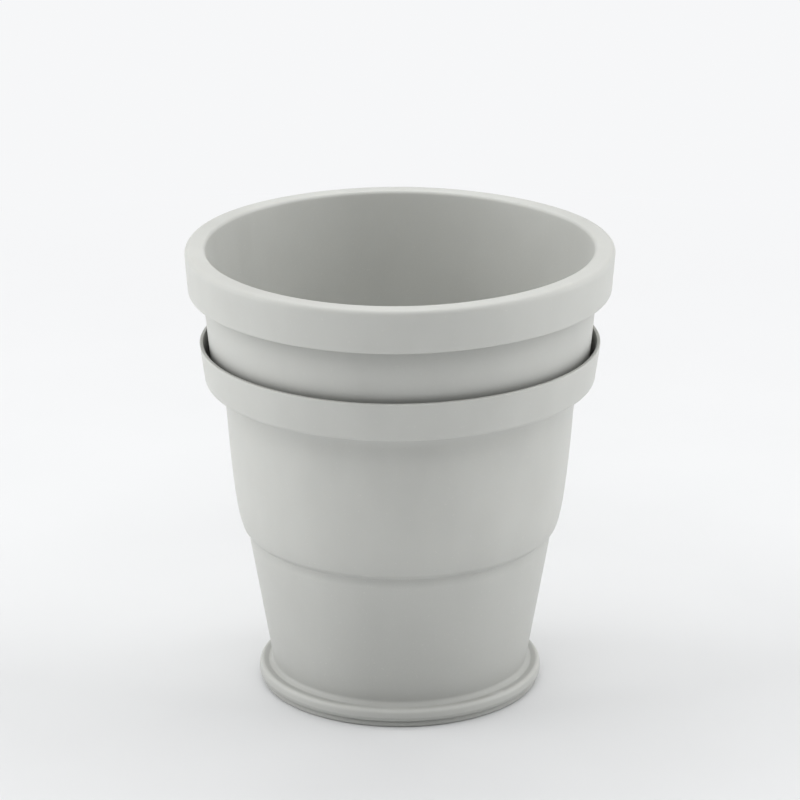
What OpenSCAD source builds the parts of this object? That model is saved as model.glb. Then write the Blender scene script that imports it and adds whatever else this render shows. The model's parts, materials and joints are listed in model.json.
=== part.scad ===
// Portable mini washer: a soft folding tub with a loose rim sleeve, and a sealed drive pod
// that stands on the tub's floor and turns a pulsator. Millimetres, +Z up. The origin is the
// centre of the underside, on the surface that the washer stands on.

/* [Tub] */
// Outside diameter of the thick rim
rim_d = 92; // [90:1:98]
// Outside diameter of the foot flange
foot_d = 62; // [61:1:65]
// Height of the crease where the thin wall meets the stiff cup
crease_z = 35; // [34:0.5:38]
// Height of the thin wall that folds
fold_h = 33; // [31:0.5:34]
// Height of the collar's upright band
band_h = 7.7; // [7:0.1:10]
// Height of sleeve wall that shows above the collar
neck_h = 11.6; // [8:0.2:16]
// Height of the thick rim
rim_h = 9.4; // [7:0.2:12]
// Thickness of the stiff silicone walls
wall = 1.6; // [1.4:0.1:1.8]
// Thickness of the wall that folds
thin_wall = 0.9; // [0.7:0.1:1.1]

/* [Drive pod] */
// Space between the pod and the cup around it
pod_gap = 0.9; // [0.7:0.1:1.2]
// Height of the pod's housing, without its foot or pulsator
housing_h = 25; // [25:0.5:26]
// Thickness of the housing's walls
shell = 1.6; // [1.4:0.1:1.8]
// Diameter of the pulsator
pulsator_d = 40; // [36:1:41]
// Number of ribs on the pulsator
rib_count = 5; // [3:1:7]

/* [Gears] */
// Module of all gears
gear_m = 0.5; // [0.5]
// Teeth on the motor pinion and on the small compound gear
small_teeth = 12; // [12]
// Teeth on the large compound gear
idler_teeth = 30; // [30]
// Teeth on the output gear
output_teeth = 36; // [36]

/* [Hidden] */
$fn = 96;

// colours
silicone = [0.76, 0.77, 0.75];
silicone_dark = [0.62, 0.63, 0.62];
housing_white = [0.90, 0.91, 0.91];
steel = [0.75, 0.76, 0.78];
brass = [0.80, 0.66, 0.35];
nylon = [0.93, 0.91, 0.85];
rubber = [0.15, 0.15, 0.16];
board_green = [0.10, 0.38, 0.24];

// tub, heights
disc_t = 1.5;
flange_top_z = 4.2;
floor_z = 4.0;
shoulder_h = 2.3;
fold_top_z = crease_z + fold_h;
ledge_z = fold_top_z + shoulder_h;
lip_z = ledge_z + band_h;
rim_low_z = lip_z + neck_h;
rim_z = rim_low_z + rim_h;

// tub, steps between outside radii, from the rim down to the foot
rim_draft = 0.7;
rim_overhang = 3.8;
taper = 0.095;
lip_gap = 2.0;
lip_t = 0.8;
band_draft = 1.2;
band_overhang = 4.2;
flare = 1.0;
crease_step = 0.3;
cup_draft = 5.2;
foot_overhang = 3.1;

// tub, outside radii
rim_r = rim_d / 2;
rim_low_r = rim_r - rim_draft;
neck_r = rim_r - rim_overhang;
sleeve_low_r = neck_r - taper * (rim_low_z - ledge_z);
lip_r = neck_r - taper * neck_h + lip_gap;
band_low_r = lip_r - band_draft;
wall_top_r = band_low_r - band_overhang;
collar_in_r = wall_top_r + flare - thin_wall;
foot_r = foot_d / 2;
cup_low_r = foot_r - foot_overhang;
cup_top_r = cup_low_r + cup_draft;
crease_r = cup_top_r + crease_step;

// pod, heights
foot_t = 1.0;
base_shell_h = 13;
deck_t = 1.6;
gear_t = 2.0;
board_t = 1.0;
chip_t = 0.9;
motor_h = 11.8;
pulsator_gap = 1.2;
pod_z = floor_z + foot_t;
split_z = pod_z + base_shell_h;
roof_z = pod_z + housing_h;
deck_z = split_z + 1.2;
mesh_a_z = deck_z + deck_t + 0.6;
mesh_b_z = mesh_a_z + gear_t + 0.5;
pulsator_z = roof_z + pulsator_gap;
board_z = pod_z + 8.4;
board_top_z = board_z + board_t;
motor_z = deck_z - motor_h;

// pod, plan
cup_slope = (cup_top_r - cup_low_r) / (crease_z - flange_top_z);
motor_pos = [9, 0];
motor_r = 10;
can_t = 0.7;
cap_t = 1.2;
tab_angle = 140;
tab_r = 12.3;
stage_1 = gear_m * (small_teeth + idler_teeth) / 2;
stage_2 = gear_m * (small_teeth + output_teeth) / 2;
idler_x = (stage_2 * stage_2 - stage_1 * stage_1 + motor_pos[0] * motor_pos[0]) / (2 * motor_pos[0]);
idler_pos = [idler_x, sqrt(stage_2 * stage_2 - idler_x * idler_x)];
boss_angles = [0, 120, 240];
boss_pcd_r = 22.0;
boss_r = 2.8;
seal_r = pod_r(split_z) - shell / 2 - 0.4;
seal_w = 0.8;
post_angles = [106, 204, 300];
post_pcd_r = 15.5;
post_r = 2.2;
shaft_r = 2.0;
shaft_collar_r = 3.0;
lower_bush_r = 3.5;
upper_bush_r = 3.6;
motor_shaft_r = 1.0;
motor_boss_r = 2.1;
motor_screw_at = 6;
motor_screw_r = 0.6;
deck_screw_r = 0.7;
shell_screw_r = 0.9;
shell_screw_head_r = 1.8;
pulsator_screw_r = 0.8;
pulsator_head_r = 1.8;
pin_r = 1.0;
run_gap = 0.03;
press_gap = 0.01;
button_r = 2.6;
button_at = 23.9;
button_travel = 0.8;
button_t = 0.9;
stem_x = -22.0;
switch_h = 2.0;
lens_angle = 162;
lens_r = 1.3;
cell_x = -18.8;
pad_t = 0.6;
port_y = 24.2;
port_w = 8.94;
port_h = 3.2;
flap_x = 8.3;
flap_axis_z = roof_z + 0.9;
flap_pin_r = 0.4;

function cup_in_r(z) = cup_low_r + (z - flange_top_z) * cup_slope - wall;
function pod_r(z) = cup_in_r(z) - pod_gap;

// Points on an arc about [x, y], from angle a to angle b
function arc(x, y, r, a, b, n = 6) = [
    for (i = [0:n])
    let (angle = a + (b - a) * i / n)
    [x + r * cos(angle), y + r * sin(angle)]
];

// Curve from p to s that leaves p towards q and reaches s from q
function bend(p, q, s, n = 6) = [
    for (i = [1:n])
    let (t = i / n)
    (1 - t) * (1 - t) * p + 2 * t * (1 - t) * q + t * t * s
];

function flip(points) = [for (i = [len(points) - 1:-1:0]) points[i]];

// ------------------------------------------------------------------ tub

// Bottom plate bonded under the cup, with a shallow recess so that it stands on its edge ring
module base_disc() {
    recess_r = foot_r - 4.5;
    recess = 0.4;
    edge_r = foot_r - 0.6;
    low_round = 0.6;
    top_round = 0.25;
    color(silicone_dark)
    rotate_extrude()
    polygon(concat(
        [[0, recess], [recess_r, recess], [recess_r + recess, 0]],
        arc(edge_r - low_round, low_round, low_round, -90, 0),
        [[edge_r, disc_t - top_round], [edge_r - top_round, disc_t], [0, disc_t]]
    ));
}

// Stiff lower cup in one piece with its foot flange
module lower_cup() {
    seam_round = 0.5;
    bead_r = 1.3;
    fillet = 1.0;
    top_round = 0.45;
    floor_fillet = 1.6;
    corner_z = floor_z + floor_fillet;
    corner_r = cup_in_r(corner_z);
    color(silicone)
    rotate_extrude()
    polygon(concat(
        [[0, disc_t], [foot_r - seam_round, disc_t]],
        arc(foot_r - seam_round, disc_t + seam_round, seam_round, -90, 0, 3),
        arc(foot_r - bead_r, flange_top_z - bead_r, bead_r, 0, 80),
        flip(arc(cup_low_r + 1.3, flange_top_z + fillet, fillet, 170, 262, 4)),
        [[cup_top_r, crease_z - 0.5]],
        arc(cup_top_r - top_round, crease_z - top_round, top_round, 0, 90, 3),
        [[cup_in_r(crease_z), crease_z], [corner_r, corner_z]],
        flip(arc(corner_r - floor_fillet, corner_z, floor_fillet, -90, -5, 4)),
        [[0, floor_z]]
    ));
}

// Outside radius of the thin wall. t is 0 at its top, where it flares out, and 1 at the crease,
// where it rolls in.
function fold_r(t) =
    wall_top_r
    + flare * pow(1 - t, 16)
    - (wall_top_r - crease_r) * (0.32 * t + 0.42 * pow(t, 2.2) + 0.26 * pow(t, 14));

// Thin wall that turns inside out when the tub is pressed flat
module fold_wall() {
    steps = 24;
    foot_bead = 0.3;
    down = [for (i = [0:steps]) (1 - cos(180 * i / steps)) / 2];
    inner = [for (i = [0:steps - 1]) [fold_r(down[i]) - thin_wall, fold_top_z - fold_h * down[i]]];
    color(silicone)
    rotate_extrude()
    polygon(concat(
        [for (t = down) [fold_r(t), fold_top_z - fold_h * t]],
        [[crease_r - thin_wall - foot_bead, crease_z]],
        flip(inner)
    ));
}

// Collar: shoulder, upright band and thin lip, with an inside ledge that carries the sleeve
module tub_collar() {
    seat_r = sleeve_low_r + 0.25;
    seat_lead = 0.2;
    lip_round = 0.25;
    inside_round = 0.4;
    band_round = 1.0;
    band_low = arc(band_low_r - band_round, ledge_z - 0.1, band_round, -75, -5, 5);
    shoulder_start = [wall_top_r + flare, fold_top_z];
    color(silicone)
    rotate_extrude()
    polygon(concat(
        [[collar_in_r, fold_top_z], shoulder_start],
        bend(shoulder_start, shoulder_start + [0.45, 0.95], band_low[0]),
        [for (i = [1:len(band_low) - 1]) band_low[i]],
        [[lip_r, lip_z - lip_round], [lip_r - lip_round, lip_z], [lip_r - lip_t, lip_z]],
        [[seat_r + seat_lead, ledge_z + 1.2], [seat_r, ledge_z + 0.6], [seat_r, ledge_z]],
        [[collar_in_r + inside_round, ledge_z], [collar_in_r, ledge_z - inside_round]]
    ));
}

// Loose inner sleeve: tapered wall that stands on the collar's ledge, with the thick rim at its top
module rim_sleeve() {
    mouth_r = neck_r + taper * rim_h - 1.55;
    low_round = 0.4;
    edge_round = 0.35;
    outer_round = 1.1;
    inner_round = 0.6;
    color(silicone)
    rotate_extrude()
    polygon(concat(
        [[sleeve_low_r - wall, ledge_z], [sleeve_low_r - low_round, ledge_z]],
        [[sleeve_low_r, ledge_z + low_round], [neck_r, rim_low_z]],
        arc(rim_low_r - edge_round, rim_low_z + edge_round, edge_round, -90, -4, 3),
        arc(rim_r - outer_round, rim_z - outer_round, outer_round, 4, 90),
        arc(mouth_r + inner_round, rim_z - inner_round, inner_round, 90, 180, 4)
    ));
}

// ------------------------------------------------------------------ gears

pressure_angle = 20;

// Involute of the angle whose cosine is c, in degrees
function inv_angle(c) = tan(acos(c)) * 180 / PI - acos(c);

// One tooth centred on angle 0, from root to root, with involute flanks
function tooth(n, m, add, play) =
    let (
        r = m * n / 2,
        rb = r * cos(pressure_angle),
        root = r - 1.25 * m,
        tip = r + add,
        low = max(rb, root),
        half = 90 / n - play / r * 90 / PI,
        steps = 4,
        flank = [
            for (i = [0:steps])
            let (q = low + (tip - low) * i / steps)
            [q, half + inv_angle(cos(pressure_angle)) - inv_angle(rb / q)]
        ],
        side = concat([[root, flank[0][1]]], flank)
    )
    concat([for (p = side) [p[0], -p[1]]], flip(side));

module gear(n, h, bore_r) {
    addendum = 0.8 * gear_m;
    backlash = 0.07;
    points = tooth(n, gear_m, addendum, backlash);
    difference() {
        linear_extrude(h)
        polygon([
            for (k = [0:n - 1])
            for (p = points)
            p[0] * [cos(p[1] + 360 * k / n), sin(p[1] + 360 * k / n)]
        ]);
        translate([0, 0, -1])
        cylinder(h = h + 2, r = bore_r);
    }
}

// Angles that put a tooth of one gear into a gap of the next, along the line between centres
motor_to_idler = atan2(idler_pos[1], idler_pos[0] - motor_pos[0]);
idler_to_output = atan2(-idler_pos[1], -idler_pos[0]);

module at_idler() {
    translate([idler_pos[0], idler_pos[1], 0])
    children();
}

module at_motor() {
    translate([motor_pos[0], motor_pos[1], 0])
    children();
}

module motor_pinion() {
    color(brass)
    at_motor()
    translate([0, 0, mesh_a_z])
    rotate(motor_to_idler)
    gear(small_teeth, gear_t, motor_shaft_r + press_gap);
}

module compound_gear() {
    bore_r = pin_r + run_gap;
    color(nylon)
    at_idler() {
        translate([0, 0, mesh_a_z])
        rotate(motor_to_idler + 180 - 180 / idler_teeth)
        gear(idler_teeth, gear_t, bore_r);
        translate([0, 0, mesh_a_z + gear_t])
        difference() {
            cylinder(h = mesh_b_z - mesh_a_z - gear_t, r = 2.2);
            translate([0, 0, -1])
            cylinder(h = 4, r = bore_r);
        }
        translate([0, 0, mesh_b_z])
        rotate(idler_to_output)
        gear(small_teeth, gear_t, bore_r);
    }
}

module output_gear() {
    color(nylon)
    translate([0, 0, mesh_b_z])
    rotate(idler_to_output + 180 - 180 / output_teeth)
    gear(output_teeth, gear_t, shaft_r + press_gap);
}

module compound_pin() {
    color(steel)
    at_idler()
    translate([0, 0, deck_z])
    cylinder(h = mesh_b_z + gear_t + 1.2 - deck_z, r = pin_r);
}

// Clip on the top of the pin, open on one side so that it pushes on
module pin_clip() {
    mouth = 1.0;
    color(steel)
    at_idler()
    translate([0, 0, mesh_b_z + gear_t + 0.2])
    difference() {
        cylinder(h = 0.5, r = 2.0);
        translate([0, 0, -1])
        cylinder(h = 3, r = pin_r + press_gap / 2);
        translate([0, -mouth / 2, -1])
        cube([3, mouth, 3]);
    }
}

// ------------------------------------------------------------------ pulsator and its shaft

// Shaft with a collar that stands on the lower bush and carries the output gear
module output_shaft() {
    color(steel)
    difference() {
        union() {
            translate([0, 0, deck_z + 0.1])
            cylinder(h = pulsator_z + 1.5 - deck_z, r = shaft_r);
            translate([0, 0, mesh_a_z - 0.3])
            cylinder(h = mesh_b_z - mesh_a_z + 0.3, r = shaft_collar_r);
        }
        translate([0, 0, pulsator_z - 3])
        cylinder(h = 7, r = pulsator_screw_r + press_gap);
    }
}

module lower_bush() {
    color(brass)
    translate([0, 0, deck_z])
    difference() {
        cylinder(h = deck_t + 0.2, r = lower_bush_r);
        translate([0, 0, -1])
        cylinder(h = 6, r = shaft_r + run_gap);
    }
}

module upper_bush() {
    color(brass)
    translate([0, 0, roof_z - 3.0])
    difference() {
        cylinder(h = 2.6, r = upper_bush_r);
        translate([0, 0, -1])
        cylinder(h = 6, r = shaft_r + run_gap);
    }
}

// Lip seal in the roof's socket, with its lip against the shaft
module shaft_seal() {
    seal_z = roof_z - 0.4;
    color(rubber)
    translate([0, 0, seal_z])
    rotate_extrude()
    polygon([
        [shaft_r + run_gap, 0.5], [shaft_r + run_gap, 0.9], [2.6, 0.9], [3.0, 1.3],
        [upper_bush_r, 1.3], [upper_bush_r, 0], [2.8, 0]
    ]);
}

// Rib of the pulsator in plan: a band about a centreline that sweeps round as it goes out
function rib_mid(r) = let (a = 34 * pow(max(0, r - 4) / (pulsator_d / 2 - 4), 1.3)) r * [cos(a), sin(a)];
function rib_side(r, off) =
    let (d = rib_mid(r + 0.1) - rib_mid(r - 0.1), n = [-d[1], d[0]] / norm(d))
    rib_mid(r) + off * n;

// Dished disc with a hub and swept ribs
module pulsator() {
    r = pulsator_d / 2;
    z = pulsator_z;
    steps = 9;
    along = [for (i = [0:steps]) i / steps];
    inner = 4;
    outer = r - 2.2;
    half = 1.3;
    narrowing = 0.5;
    color(silicone_dark)
    difference() {
        union() {
            rotate_extrude()
            polygon(concat(
                [[0, z], [r - 1.4, z], [r - 1.4, z - 0.6], [r - 0.4, z - 0.6]],
                arc(r - 0.9, z + 1.0, 0.9, 0, 90, 4),
                [[r - 6, z + 1.5], [8.5, z + 2.3], [6.4, z + 3.6]],
                arc(4.6, z + 3.8, 1.2, 10, 90, 4),
                [[0, z + 5.0]]
            ));
            for (k = [0:rib_count - 1])
            rotate(360 * k / rib_count)
            intersection() {
                translate([0, 0, z])
                linear_extrude(8)
                polygon(concat(
                    [for (t = along) rib_side(inner + (outer - inner) * t, half - narrowing * t)],
                    [for (t = flip(along)) rib_side(inner + (outer - inner) * t, narrowing * t - half)]
                ));
                rotate_extrude()
                polygon([
                    [0, z], [r - 1.6, z], [r - 1.9, z + 2.2], [r - 5.5, z + 4.3], [r - 8.5, z + 5.0],
                    [7.5, z + 4.8], [5.0, z + 4.2], [0, z + 4.2]
                ]);
            }
        }
        translate([0, 0, z - 1])
        cylinder(h = 2.6, r = shaft_r + press_gap);
        translate([0, 0, z - 1])
        cylinder(h = 8, r = pulsator_screw_r + 0.1);
        translate([0, 0, z + 3.2])
        cylinder(h = 4, r = pulsator_head_r + 0.1);
    }
}

// Socket screw that holds the pulsator on its shaft
module pulsator_screw() {
    color(steel)
    translate([0, 0, pulsator_z])
    difference() {
        union() {
            translate([0, 0, -2.6])
            cylinder(h = 5.9, r = pulsator_screw_r);
            translate([0, 0, 3.2])
            cylinder(h = 1.3, r = pulsator_head_r);
        }
        translate([0, 0, 3.8])
        cylinder(h = 2, r = 0.9, $fn = 6);
    }
}

// Soft plug over the pulsator's screw
module hub_plug() {
    plug_r = pulsator_head_r + 0.08;
    color(silicone_dark)
    translate([0, 0, pulsator_z + 4.55])
    rotate_extrude()
    polygon([[0, 0], [plug_r, 0], [plug_r, 0.45], [1.5, 0.75], [0, 0.9]]);
}

// ------------------------------------------------------------------ pod housing

module at_bosses() {
    for (a = boss_angles)
    rotate(a)
    translate([boss_pcd_r, 0, 0])
    children();
}

module at_posts() {
    for (a = post_angles)
    rotate(a)
    translate([post_pcd_r, 0, 0])
    children();
}

// Soft ring under the pod that grips the tub's floor
module pod_foot_ring() {
    in_r = 14;
    out_r = 20.2;
    color(silicone_dark)
    translate([0, 0, floor_z])
    rotate_extrude()
    polygon([
        [in_r, 0.4], [in_r + 1.2, 0], [out_r - 0.8, 0], [out_r, 0.5], [out_r, foot_t], [in_r, foot_t]
    ]);
}

// Lower half of the housing, with screw pillars and the seal's groove round its top
module pod_base_shell() {
    low_r = pod_r(pod_z);
    top_r = pod_r(split_z);
    land = shell + 0.6;
    color(housing_white)
    difference() {
        union() {
            rotate_extrude()
            polygon(concat(
                [[0, pod_z], [low_r - 1.8, pod_z]],
                arc(low_r - 1.6, pod_z + 1.6, 1.6, -80, -8, 5),
                [[top_r, split_z], [top_r - land, split_z]],
                [[top_r - land, split_z - 1.6], [top_r - land + 0.4, split_z - 2.2]],
                [[low_r - shell, pod_z + shell], [0, pod_z + shell]]
            ));
            intersection() {
                at_bosses()
                translate([0, 0, pod_z + 0.5])
                cylinder(h = split_z - pod_z - 0.5, r = boss_r, $fn = 32);
                cylinder(h = split_z, r = low_r);
            }
        }
        rotate_extrude()
        translate([seal_r, split_z])
        square([seal_w + 0.1, 1.4], center = true);
        at_bosses() {
            translate([0, 0, pod_z - 1])
            cylinder(h = 30, r = shell_screw_r + 0.25, $fn = 32);
            translate([0, 0, pod_z - 1])
            cylinder(h = 3.2, r = shell_screw_head_r + 0.2, $fn = 32);
        }
    }
}

// Upper half of the housing, with deck posts and the openings for shaft, button, lens and socket
module pod_top_shell() {
    low_r = pod_r(split_z);
    top_r = pod_r(roof_z) - 0.2;
    round_r = 1.8;
    land = shell + 0.6;
    socket_r = 5.2;
    port_gap = 0.3;
    color(housing_white)
    difference() {
        union() {
            rotate_extrude()
            polygon(concat(
                [[low_r - land, split_z], [low_r, split_z]],
                arc(top_r - round_r, roof_z - round_r, round_r, 8, 84, 6),
                [[0, roof_z], [0, roof_z - shell], [top_r - 2.2, roof_z - shell]],
                [[top_r - 2.2, roof_z - 3], [low_r - shell, split_z + 3]]
            ));
            translate([0, 0, roof_z - 3.0])
            cylinder(h = 3.9, r = socket_r);
            at_posts()
            translate([0, 0, deck_z + deck_t])
            cylinder(h = roof_z - deck_z - deck_t - 0.5, r = post_r, $fn = 32);
            intersection() {
                at_bosses()
                translate([0, 0, split_z])
                cylinder(h = roof_z - split_z - 0.5, r = boss_r, $fn = 32);
                cylinder(h = roof_z, r = low_r);
            }
            flap_lugs();
        }
        translate([0, 0, roof_z - 4])
        cylinder(h = 8, r = upper_bush_r + press_gap);
        at_posts()
        translate([0, 0, deck_z])
        cylinder(h = 6, r = deck_screw_r + 0.05, $fn = 32);
        at_bosses()
        translate([0, 0, split_z - 1])
        cylinder(h = 8, r = shell_screw_r + 0.05, $fn = 32);
        translate([-button_at, 0, roof_z - 4])
        cylinder(h = 8, r = button_r + 0.15);
        rotate(lens_angle)
        translate([button_at, 0, roof_z - 4])
        cylinder(h = 8, r = lens_r + press_gap, $fn = 32);
        translate([0, port_y, roof_z - 4])
        linear_extrude(8)
        stadium(port_w + 2 * port_gap, port_h + 2 * port_gap);
    }
}

// Two lugs on the roof that hold the flap's pin
module flap_lugs() {
    for (y = [port_y - 2.9, port_y + 1.9])
    translate([flap_x, y, 0])
    difference() {
        union() {
            translate([0, 0, flap_axis_z])
            rotate([-90, 0, 0])
            cylinder(h = 1.0, r = 0.9, $fn = 32);
            translate([-0.9, 0, roof_z - 0.5])
            cube([1.8, 1.0, flap_axis_z - roof_z + 0.5]);
        }
        translate([0, -1, flap_axis_z])
        rotate([-90, 0, 0])
        cylinder(h = 3, r = flap_pin_r + press_gap, $fn = 32);
    }
}

module flap_pin() {
    color(steel)
    translate([flap_x, port_y - 2.9, flap_axis_z])
    rotate([-90, 0, 0])
    cylinder(h = 5.8, r = flap_pin_r, $fn = 32);
}

// Soft cover of the charging socket, with a plug on its underside and a thumb tab
module port_flap() {
    top_t = 0.9;
    barrel_w = 3.6;
    tab_x = -7.4;
    cover = [11.2, 5.2];
    color(silicone_dark)
    difference() {
        union() {
            translate([flap_x, port_y - barrel_w / 2, flap_axis_z])
            rotate([-90, 0, 0])
            cylinder(h = barrel_w, r = 0.85, $fn = 32);
            translate([tab_x, port_y - barrel_w / 2, roof_z + 0.1])
            cube([flap_x - tab_x, barrel_w, top_t]);
            translate([-cover[0] / 2, port_y - cover[1] / 2, roof_z + 0.1])
            cube([cover[0], cover[1], top_t]);
            translate([0, port_y, roof_z - 1.5])
            linear_extrude(2)
            stadium(7.6, 2.2);
        }
        translate([flap_x, port_y - 3, flap_axis_z])
        rotate([-90, 0, 0])
        cylinder(h = 6, r = flap_pin_r + run_gap, $fn = 32);
    }
}

// Seal in the groove where the two halves of the housing meet
module shell_seal() {
    color(rubber)
    rotate_extrude()
    translate([seal_r, split_z - 0.34])
    square([seal_w, 0.66], center = true);
}

// Three screws from below that close the housing
module shell_screws() {
    color(steel)
    at_bosses()
    translate([0, 0, pod_z + 0.9])
    difference() {
        union() {
            cylinder(h = 1.3, r = shell_screw_head_r, $fn = 32);
            cylinder(h = 16.5, r = shell_screw_r, $fn = 32);
        }
        translate([0, 0, -1])
        cylinder(h = 1.7, r = 0.9, $fn = 6);
    }
}

// Plate that carries the motor, the gear pin and the lower bush
module gear_deck() {
    deck_r = 18.2;
    color([0.35, 0.36, 0.38])
    translate([0, 0, deck_z])
    difference() {
        cylinder(h = deck_t, r = deck_r);
        translate([0, 0, -1])
        cylinder(h = 5, r = lower_bush_r + press_gap);
        at_idler()
        translate([0, 0, -1])
        cylinder(h = 5, r = pin_r + press_gap / 2, $fn = 32);
        at_motor() {
            translate([0, 0, -1])
            cylinder(h = 5, r = motor_boss_r + 0.1, $fn = 32);
            for (s = [-1, 1])
            translate([0, s * motor_screw_at, -1])
            cylinder(h = 5, r = motor_screw_r + 0.3, $fn = 32);
        }
        at_posts()
        translate([0, 0, -1])
        cylinder(h = 5, r = deck_screw_r + 0.2, $fn = 32);
    }
}

// Three screws that hold the deck up to the roof's posts
module deck_screws() {
    color(steel)
    at_posts()
    translate([0, 0, deck_z - 1.1]) {
        cylinder(h = 1.1, r = 1.5, $fn = 32);
        cylinder(h = 5.5, r = deck_screw_r, $fn = 32);
    }
}

// ------------------------------------------------------------------ motor

// Deep-drawn can with its bearing boss through the deck
module motor_can() {
    color(steel)
    at_motor()
    difference() {
        union() {
            translate([0, 0, motor_z + cap_t])
            cylinder(h = motor_h - cap_t, r = motor_r);
            translate([0, 0, deck_z - 0.3])
            cylinder(h = 1.3, r = motor_boss_r, $fn = 32);
        }
        translate([0, 0, motor_z])
        cylinder(h = motor_h - 0.9, r = motor_r - can_t);
        translate([0, 0, motor_z])
        cylinder(h = 20, r = motor_shaft_r + run_gap, $fn = 48);
        for (s = [-1, 1])
        translate([0, s * motor_screw_at, deck_z - 2])
        cylinder(h = 4, r = motor_screw_r + 0.05, $fn = 32);
    }
}

module motor_end_cap() {
    color(housing_white)
    at_motor()
    difference() {
        union() {
            translate([0, 0, motor_z])
            cylinder(h = cap_t, r = motor_r);
            translate([0, 0, motor_z + cap_t])
            cylinder(h = 1.0, r = motor_r - can_t - 0.02);
        }
        translate([0, 0, motor_z + 0.6])
        cylinder(h = 4, r = motor_shaft_r + run_gap, $fn = 48);
    }
}

// Two leaf brushes beside the commutator, with solder tabs under the end cap
module motor_brushes() {
    color(brass)
    at_motor() {
        for (s = [-1, 1])
        translate([-1.5, s > 0 ? 2.25 : -2.65, motor_z + 2.2])
        cube([3, 0.4, 1.2]);
        for (a = [-tab_angle, tab_angle])
        rotate(a)
        translate([7, -1, motor_z - 0.3])
        cube([tab_r - 6, 2, 0.3]);
    }
}

// Two arc magnets against the inside of the can
module motor_magnets() {
    inner = 7.7;
    color([0.25, 0.25, 0.27])
    at_motor()
    for (a = [0, 180])
    rotate(a - 65)
    translate([0, 0, motor_z + 2.9])
    rotate_extrude(angle = 130)
    translate([inner, 0])
    square([motor_r - can_t - 0.02 - inner, 7.0]);
}

// Wound armature with three poles, and its commutator
module motor_rotor() {
    pole_r = 7.3;
    color([0.72, 0.42, 0.22])
    at_motor()
    translate([0, 0, motor_z + 3.4])
    difference() {
        union() {
            cylinder(h = 6.0, r = 3.0, $fn = 48);
            for (a = [0:120:240])
            rotate(a) {
                translate([0, -1.1, 0])
                cube([pole_r - 0.8, 2.2, 6.0]);
                rotate(-38)
                translate([0, 0, 0.5])
                rotate_extrude(angle = 76)
                translate([pole_r - 1.2, 0])
                square([1.2, 5.0]);
            }
            translate([0, 0, -1.1])
            cylinder(h = 1.2, r = 2.2, $fn = 48);
        }
        translate([0, 0, -2])
        cylinder(h = 10, r = motor_shaft_r + press_gap / 2, $fn = 48);
    }
}

module motor_shaft() {
    color(steel)
    at_motor()
    translate([0, 0, motor_z + 0.7])
    cylinder(h = mesh_a_z + gear_t - motor_z - 0.6, r = motor_shaft_r, $fn = 48);
}

module motor_screws() {
    color(steel)
    at_motor()
    for (s = [-1, 1])
    translate([0, s * motor_screw_at, 0]) {
        translate([0, 0, deck_z - 0.9])
        cylinder(h = deck_t + 0.9, r = motor_screw_r, $fn = 32);
        translate([0, 0, deck_z + deck_t])
        cylinder(h = 0.4, r = 1.2, $fn = 32);
    }
}

// ------------------------------------------------------------------ electrics

// Pouch cell with its taped protection board along one side
module battery_cell() {
    cell = [16.6, 29, 5.2];
    taped = [0.9, 14, 2.0];
    color([0.35, 0.48, 0.66]) {
        translate([cell_x, -cell[1] / 2, pod_z + shell + pad_t])
        cube(cell);
        translate([cell_x + cell[0], -taped[1] / 2, pod_z + shell + pad_t + 3.0])
        cube(taped);
    }
}

// Foam pad under the cell
module battery_pad() {
    color([0.95, 0.95, 0.93])
    translate([cell_x + 1.0, -12, pod_z + shell])
    cube([14, 24, pad_t]);
}

// Board with its processor, connector, inductor and lamp
module control_board() {
    board = [20.8, 17.2, board_t];
    color(board_green)
    translate([-23.6, -board[1] / 2, board_z])
    difference() {
        union() {
            cube(board);
            translate([8, 2, board_t])
            cube([5, 5, chip_t]);
            translate([13, 10, board_t])
            cube([3, 2, 1.2]);
            translate([8, 12, board_t])
            cube([2.4, 1.6, 0.8]);
            translate([0.3, 15.3, board_t])
            cube([1.6, 1.6, 0.7]);
        }
        for (x = [4.5, 17.2])
        translate([x, 1.6, -1])
        cylinder(h = 4, r = 0.8, $fn = 32);
    }
}

// Switch under the button's stem; its spring sends the button back up
module tact_switch() {
    case_h = 1.4;
    color([0.18, 0.18, 0.20])
    translate([stem_x, 0, board_top_z]) {
        translate([-1.6, -2.0, 0])
        cube([3.8, 4.0, case_h]);
        translate([0, 0, case_h])
        cylinder(h = switch_h - case_h, r = 1.1, $fn = 32);
    }
}

// Outline with round ends, about the origin
module stadium(w, h) {
    square([w - h, h], center = true);
    for (s = [-1, 1])
    translate([s * (w - h) / 2, 0])
    circle(d = h, $fn = 48);
}

// Charging socket, mouth upwards under the flap
module charge_socket() {
    sheet = 0.3;
    color(steel)
    translate([0, port_y, roof_z - 7.2]) {
        difference() {
            linear_extrude(6.9)
            stadium(port_w, port_h);
            translate([0, 0, 0.9])
            linear_extrude(8)
            stadium(port_w - 2 * sheet, port_h - 2 * sheet);
        }
        translate([-3.3, -0.35, 0.8])
        cube([6.6, 0.7, 4.4]);
    }
}

// Small upright board that carries the socket under the roof
module charge_bracket() {
    drop = 8.1;
    color(board_green)
    translate([-6, port_y - 2.6, roof_z - drop]) {
        cube([12, 1.0, drop - shell]);
        cube([12, 3.4, 0.9]);
    }
}

// Button with a retaining flange under the roof and a stem that reaches the switch
module power_button() {
    flange_top = roof_z - shell - 0.1;
    flange_r = button_r + 0.7;
    switch_top = board_top_z + switch_h;
    color(silicone_dark) {
        translate([-button_at, 0, 0])
        rotate_extrude()
        polygon(concat(
            [[0, flange_top - button_t], [flange_r, flange_top - button_t], [flange_r, flange_top]],
            [[button_r, flange_top]],
            arc(button_r - 0.7, roof_z + 0.3, 0.7, 0, 90, 4),
            [[0, roof_z + 0.8]]
        ));
        translate([stem_x, 0, switch_top + button_travel])
        cylinder(h = flange_top - 0.5 - switch_top - button_travel, r = 0.9, $fn = 32);
    }
}

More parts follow.
